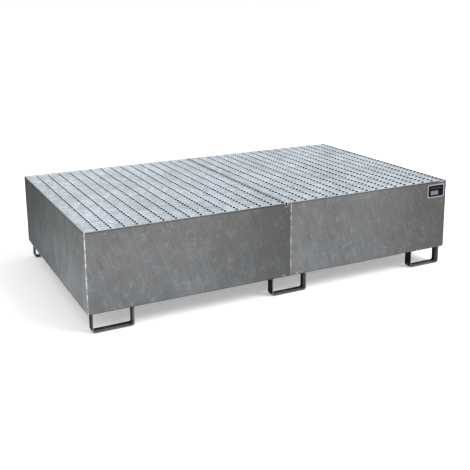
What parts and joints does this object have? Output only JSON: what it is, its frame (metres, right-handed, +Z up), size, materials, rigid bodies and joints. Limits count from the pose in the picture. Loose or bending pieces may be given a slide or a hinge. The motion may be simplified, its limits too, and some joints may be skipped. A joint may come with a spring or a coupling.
{
  "type": "spill containment pallet",
  "caption": "Low rectangular galvanised steel sump tray on strap feet, with lift-out steel gratings flush with its rim; it carries containers and catches what leaks from them.",
  "frame": {"origin": "on the floor under the middle of the tray", "axes": "+X along the length to the right seen from the front, +Y to the back, +Z up; the front wall carries the label plate"},
  "size_m": [2.153, 1.303, 0.505],
  "materials": {
    "tray_zinc": "dull hot-dip galvanised sheet with streaks and small white flecks",
    "grating_zinc": "bright hot-dip galvanised bars",
    "weld_zinc": "rough galvanised weld bead",
    "foot_steel": "dark dull strap steel",
    "label_metal": "matt plate",
    "label_dark": "dark printed field"
  },
  "bodies": {
    "tray": {"shell_left": "tray_zinc", "shell_right": "tray_zinc", "end_plate_left": "tray_zinc", "end_plate_right": "tray_zinc", "seam_weld": "weld_zinc", "corner_welds": "weld_zinc", "ledge_left": "tray_zinc", "ledge_right": "tray_zinc", "ledge_front_left": "tray_zinc", "ledge_front_right": "tray_zinc", "ledge_back_left": "tray_zinc", "ledge_back_right": "tray_zinc", "center_beam": "tray_zinc", "beam_post_front": "tray_zinc", "beam_post_back": "tray_zinc", "post_pads": "tray_zinc", "foot_front_left": "foot_steel", "foot_front_middle": "foot_steel", "foot_front_right": "foot_steel", "foot_back_left": "foot_steel", "foot_back_middle": "foot_steel", "foot_back_right": "foot_steel", "foot_welds": "weld_zinc", "label_plate": "label_metal", "label_field": "label_dark"},
    "grating_left": {"grating_left_load_bars": "grating_zinc", "grating_left_cross_bars": "grating_zinc", "grating_left_end_bars": "grating_zinc", "grating_left_edge_bars": "grating_zinc"},
    "grating_right": {"grating_right_load_bars": "grating_zinc", "grating_right_cross_bars": "grating_zinc", "grating_right_end_bars": "grating_zinc", "grating_right_edge_bars": "grating_zinc"}
  },
  "joints": [
    {"name": "grating_left_lift", "type": "slide", "parent": "tray", "child": "grating_left", "axis": [0, 0, 1], "range_m": [0, 0.15]},
    {"name": "grating_right_lift", "type": "slide", "parent": "tray", "child": "grating_right", "axis": [0, 0, 1], "range_m": [0, 0.15]}
  ]
}
